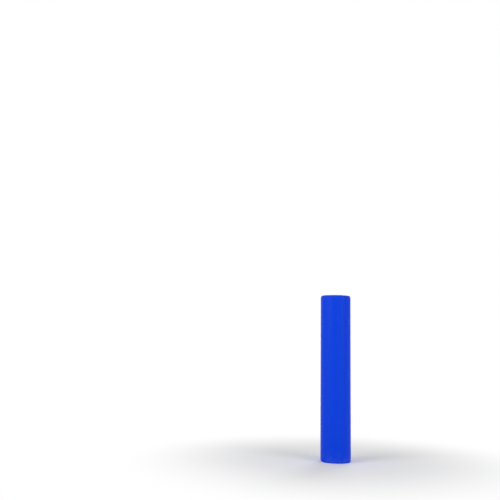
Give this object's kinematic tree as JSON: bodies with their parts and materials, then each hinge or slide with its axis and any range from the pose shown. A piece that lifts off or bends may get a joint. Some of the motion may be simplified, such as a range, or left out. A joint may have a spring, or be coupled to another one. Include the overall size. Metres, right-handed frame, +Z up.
{
  "type": "basketball pole pad",
  "caption": "Wrap-around padded sleeve for a round goal pole: foam staves in sewn vinyl pockets, hinged on one outer sheet and closed at the rear by a hook-and-loop flap.",
  "frame": {"origin": "on the axis of the pole that the pad wraps, at the level that the pad stands on", "axes": "+Z up the pole, +Y towards the rear of the pad, where the slit and the closing flap are"},
  "size_m": [0.35, 0.355, 1.93],
  "materials": {
    "outer_vinyl": "satin PVC-coated cloth, fine grain, royal blue",
    "pocket_vinyl": "the same coated cloth, pocket side",
    "foot_vinyl": "heavier coated cloth, scuffed where it stands",
    "foam": "open-cell upholstery foam",
    "hook_tape": "woven nylon tape with hooks",
    "loop_tape": "woven nylon tape with brushed loops"
  },
  "bodies": {
    "stave_5": {"foam_stave_5": "foam", "pocket_liner_5": "pocket_vinyl", "outer_skin_5": "outer_vinyl", "top_cap_5": "outer_vinyl", "bottom_cap_5": "foot_vinyl"},
    "stave_4": {"foam_stave_4": "foam", "pocket_liner_4": "pocket_vinyl", "outer_skin_4": "outer_vinyl", "top_cap_4": "outer_vinyl", "bottom_cap_4": "foot_vinyl"},
    "stave_3": {"foam_stave_3": "foam", "pocket_liner_3": "pocket_vinyl", "outer_skin_3": "outer_vinyl", "top_cap_3": "outer_vinyl", "bottom_cap_3": "foot_vinyl"},
    "stave_2": {"foam_stave_2": "foam", "pocket_liner_2": "pocket_vinyl", "outer_skin_2": "outer_vinyl", "top_cap_2": "outer_vinyl", "bottom_cap_2": "foot_vinyl"},
    "stave_1": {"foam_stave_1": "foam", "pocket_liner_1": "pocket_vinyl", "outer_skin_1": "outer_vinyl", "top_cap_1": "outer_vinyl", "bottom_cap_1": "foot_vinyl", "loop_tape": "loop_tape"},
    "stave_6": {"foam_stave_6": "foam", "pocket_liner_6": "pocket_vinyl", "outer_skin_6": "outer_vinyl", "top_cap_6": "outer_vinyl", "bottom_cap_6": "foot_vinyl"},
    "stave_7": {"foam_stave_7": "foam", "pocket_liner_7": "pocket_vinyl", "outer_skin_7": "outer_vinyl", "top_cap_7": "outer_vinyl", "bottom_cap_7": "foot_vinyl"},
    "stave_8": {"foam_stave_8": "foam", "pocket_liner_8": "pocket_vinyl", "outer_skin_8": "outer_vinyl", "top_cap_8": "outer_vinyl", "bottom_cap_8": "foot_vinyl", "flap_anchor": "outer_vinyl"},
    "flap": {"closure_flap": "outer_vinyl", "hook_tape": "hook_tape"}
  },
  "joints": [
    {"name": "fold_4", "type": "hinge", "parent": "stave_5", "child": "stave_4", "pos_m": [0, -0.175, 0.965], "axis": [0, 0, 1], "range_deg": [0, 45]},
    {"name": "fold_3", "type": "hinge", "parent": "stave_4", "child": "stave_3", "pos_m": [-0.12374, -0.12374, 0.965], "axis": [0, 0, 1], "range_deg": [0, 45]},
    {"name": "fold_2", "type": "hinge", "parent": "stave_3", "child": "stave_2", "pos_m": [-0.175, 0, 0.965], "axis": [0, 0, 1], "range_deg": [0, 45]},
    {"name": "fold_1", "type": "hinge", "parent": "stave_2", "child": "stave_1", "pos_m": [-0.12374, 0.12374, 0.965], "axis": [0, 0, 1], "range_deg": [0, 45]},
    {"name": "fold_5", "type": "hinge", "parent": "stave_5", "child": "stave_6", "pos_m": [0.12374, -0.12374, 0.965], "axis": [0, 0, -1], "range_deg": [0, 45]},
    {"name": "fold_6", "type": "hinge", "parent": "stave_6", "child": "stave_7", "pos_m": [0.175, 0, 0.965], "axis": [0, 0, -1], "range_deg": [0, 45]},
    {"name": "fold_7", "type": "hinge", "parent": "stave_7", "child": "stave_8", "pos_m": [0.12374, 0.12374, 0.965], "axis": [0, 0, -1], "range_deg": [0, 45]},
    {"name": "flap_fold", "type": "hinge", "parent": "stave_8", "child": "flap", "pos_m": [0.0181, 0.17537, 0.965], "axis": [0, 0, -1], "range_deg": [0, 150]}
  ],
  "couplings": [
    {"joint": "fold_3", "follows": "fold_4", "ratio": 1},
    {"joint": "fold_2", "follows": "fold_4", "ratio": 1},
    {"joint": "fold_1", "follows": "fold_4", "ratio": 1},
    {"joint": "fold_5", "follows": "fold_4", "ratio": 1},
    {"joint": "fold_6", "follows": "fold_4", "ratio": 1},
    {"joint": "fold_7", "follows": "fold_4", "ratio": 1}
  ]
}
